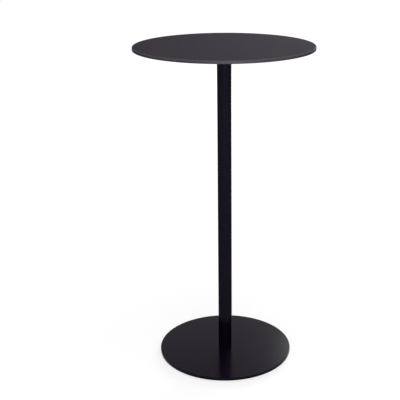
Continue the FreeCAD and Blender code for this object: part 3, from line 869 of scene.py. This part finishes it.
# %% Turn the nut
HEX_SECTORS = 96
HEX_SIDE = FULL_TURN / 6
CONE_SLOPE = math.tan(math.radians(30))
FACE_SHARE = 0.95
BORE_BEVEL = 0.35 * MM
THREAD_ROOM = 0.06 * MM


def hexagon_radius(width):
    """Radius of a hexagon of that width across flats, with a corner at angle 0:
    half width / cos(angle from the middle of a flat)."""
    from_flat = round_angles(HEX_SECTORS) % HEX_SIDE - HEX_SIDE / 2
    return width / 2 / np.cos(from_flat)


def hexagon_rows(width, low, high):
    """Radius and height grids up the outside of a hexagon: lower face, cone, flats, cone and upper face."""
    hexagon = hexagon_radius(width)
    face = np.full_like(hexagon, FACE_SHARE * width / 2)
    dropped = CONE_SLOPE * (hexagon - face)
    level = np.zeros_like(hexagon)
    radius = np.stack([face, hexagon, hexagon, face])
    height = np.stack([low + level, low + dropped, high - dropped, high + level])
    return radius, height


nut_low, nut_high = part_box("base_nut")
outer_radius, outer_height = hexagon_rows(2 * nut_high.y, nut_low.z, nut_high.z)
bore_height = thread_rows(nut_low.z, nut_high.z, ROD_PITCH)[::-1]
from_face = np.minimum(bore_height - nut_low.z, nut_high.z - bore_height)[:, None]
bore = threaded(rod_radius, bore_height, ROD_PITCH, HEX_SECTORS) + THREAD_ROOM
bore = np.maximum(bore, rod_radius + BORE_BEVEL - from_face)
nut_radius = np.concatenate([outer_radius, bore])
nut_height = np.concatenate([outer_height, np.broadcast_to(bore_height[:, None], bore.shape)])
add_piece("hexagon_nut", closed_shell(turned(nut_radius, nut_height, HEX_SECTORS), ring=True), "base_nut")

# %% [markdown]
# ## The washers
#
# The flat washer was punched, so its upper rim is slightly rounded. The spring washer is a bar that was
# bent almost into a ring, and its ends are cut at a slant. So its section is carried along an arc, and
# both ends of the arc lean with the height.

# %% Turn the washers
WASHER_SECTORS = 72
WASHER_HOLE = 5.25 * MM
WASHER_RIM = 0.4 * MM
WASHER_LOWER_RIM = 0.1 * MM
SPRING_STEPS = 80
SPRING_CUT = 2.0 * MM
CUT_SLANT = 0.25


def cut_angle(across, up, side):
    """Angle from the middle of the cut to the bar's end on one side, 1 or -1, at each point of the
    section: (half the cut's width + side * slant * height above the bar's middle) / radius."""
    return (SPRING_CUT / 2 + side * CUT_SLANT * (up - up.mean())) / across


washer_low, washer_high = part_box("base_washer")
washer_corners = [
    (WASHER_HOLE, washer_low.z, WASHER_LOWER_RIM),
    (washer_high.x, washer_low.z, WASHER_LOWER_RIM),
    (washer_high.x, washer_high.z, WASHER_RIM),
    (WASHER_HOLE, washer_high.z, WASHER_RIM),
]
washer_profile = rounded(washer_corners, closed=True)
washer_shell = closed_shell(turned(*washer_profile, WASHER_SECTORS), ring=True)
add_piece("flat_washer", washer_shell, "base_washer")

spring_low, spring_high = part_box("spring_washer")
spring_radius = -spring_low.x
spring_corners = [
    (WASHER_HOLE, spring_low.z, WASHER_RIM),
    (spring_radius, spring_low.z, WASHER_RIM),
    (spring_radius, spring_high.z, WASHER_RIM),
    (WASHER_HOLE, spring_high.z, WASHER_RIM),
]
across, up = rounded(spring_corners, closed=True)
bar_start = cut_angle(across, up, side=1)
bar_end = FULL_TURN - cut_angle(across, up, side=-1)
bend = bar_start + np.linspace(1.0, 0.0, SPRING_STEPS)[:, None] * (bar_end - bar_start)
spring = np.stack(np.broadcast_arrays(across * np.cos(bend), across * np.sin(bend), up), axis=-1)
add_piece("split_washer", closed_shell(spring), "spring_washer")

# %% [markdown]
# ## The levelling studs
#
# Four studs screw into the base plate from below and level the table on an uneven floor. Each has a
# round head that turns in its pad, a narrow neck, a hexagon collar for a spanner and a thread. All of
# that is one grid: the head, the collar and the thread are stretches of rows whose radius follows a
# rounded profile, a hexagon or a groove.

# %% Turn the levelling studs
STUD_PITCH = 1.25 * MM
STUD_BEVEL = 0.8 * MM
STUD_RADIUS = 4.0 * MM
NECK_RADIUS = 3.0 * MM
HEAD_RADIUS = 4.6 * MM
HEAD_HEIGHT = 2.0 * MM
HEAD_RIM = 0.5 * MM
COLLAR_HEIGHT = 2.5 * MM
GLIDE_NUMBERS = range(1, 5)


def stud_grid(low, high, collar_top, collar_width, axis):
    """Grid of one stud, from the head's middle to the thread's end."""
    collar_foot = collar_top - COLLAR_HEIGHT
    head_corners = [
        (0.0, low, 0.0),
        (HEAD_RADIUS, low, HEAD_RIM),
        (HEAD_RADIUS, low + HEAD_HEIGHT, HEAD_RIM),
        (NECK_RADIUS, low + HEAD_HEIGHT, 0.0),
        (NECK_RADIUS, collar_foot, 0.0),
    ]
    head_profile = rounded(head_corners)[:, 1:, None]
    head_radius, head_height = np.repeat(head_profile, HEX_SECTORS, axis=2)
    collar_radius, collar_height = hexagon_rows(collar_width, collar_foot, collar_top)
    rows = thread_rows(collar_top, high, STUD_PITCH)
    bevel = (STUD_RADIUS - STUD_BEVEL + high - rows)[:, None]
    thread = np.minimum(threaded(STUD_RADIUS, rows, STUD_PITCH, HEX_SECTORS), bevel)
    radius = np.concatenate([head_radius, collar_radius, thread])
    height = np.concatenate([head_height, collar_height, np.broadcast_to(rows[:, None], thread.shape)])
    return turned(radius, height, HEX_SECTORS, axis)


glide_axis = {}
for number in GLIDE_NUMBERS:
    low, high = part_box(f"glide_stud_{number}")
    glide_axis[number] = ((low.x + high.x) / 2, (low.y + high.y) / 2)
    grid = stud_grid(low.z, high.z, base_low.z, high.y - low.y, glide_axis[number])
    add_piece(f"levelling_stud_{number}", closed_shell(grid), f"glide_stud_{number}")
print("studs stand at", [tuple(round(value, 3) for value in place) for place in glide_axis.values()])

# %% [markdown]
# ## The pads on the floor
#
# Each stud stands in a moulded nylon pad. The pad has a fluted rim that fingers can grip, a shallow
# dish below so that it stands on its outer ring, and a hollow that holds the stud's head. The hollow is
# a hair deeper than the head, so that the stud turns freely in it. The flutes are a cosine of the
# angle, taken off the radius on the rows of the rim alone.

# %% Mould the pads
PAD_SECTORS = 144
PAD_RIM = 1.2 * MM
PAD_DISH = 0.4 * MM
PAD_FOOT_RING = 3.0 * MM
PAD_FOOT_ROUNDING = 0.2 * MM
PAD_FLOOR = 1.44 * MM
NECK_HOLE = 3.3 * MM
HEAD_CAVITY = 4.9 * MM
CAVITY_TOP = 3.8 * MM
FLUTES = 24
FLUTE_DEPTH = 0.35 * MM


def pad_grid(low, high, radius, axis):
    """Grid of one pad, from the middle of its foot, out round the rim and in again to the floor of its
    hollow."""
    dish_radius = radius - PAD_RIM - PAD_FOOT_RING
    pad_corners = [
        (0.0, low + PAD_DISH, 0.0),
        (dish_radius, low + PAD_DISH, PAD_DISH),
        (dish_radius + PAD_DISH, low, PAD_FOOT_ROUNDING),
        (radius, low, PAD_RIM),
        (radius, high, PAD_RIM),
        (NECK_HOLE, high, PAD_DISH),
        (NECK_HOLE, low + CAVITY_TOP, 0.0),
        (HEAD_CAVITY, low + CAVITY_TOP, 0.0),
        (HEAD_CAVITY, low + PAD_FLOOR, 0.0),
        (0.0, low + PAD_FLOOR, 0.0),
    ]
    across, up = rounded(pad_corners)[:, 1:-1]
    on_rim = np.clip((across - (radius - PAD_RIM)) / PAD_RIM, 0.0, 1.0)[:, None]
    flute = 0.5 - 0.5 * np.cos(FLUTES * round_angles(PAD_SECTORS))
    return turned(across[:, None] - FLUTE_DEPTH * on_rim * flute, up, PAD_SECTORS, axis)


for number in GLIDE_NUMBERS:
    low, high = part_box(f"glide_pad_{number}")
    grid = pad_grid(low.z, high.z, (high.x - low.x) / 2, glide_axis[number])
    add_piece(f"floor_pad_{number}", closed_shell(grid), f"glide_pad_{number}")
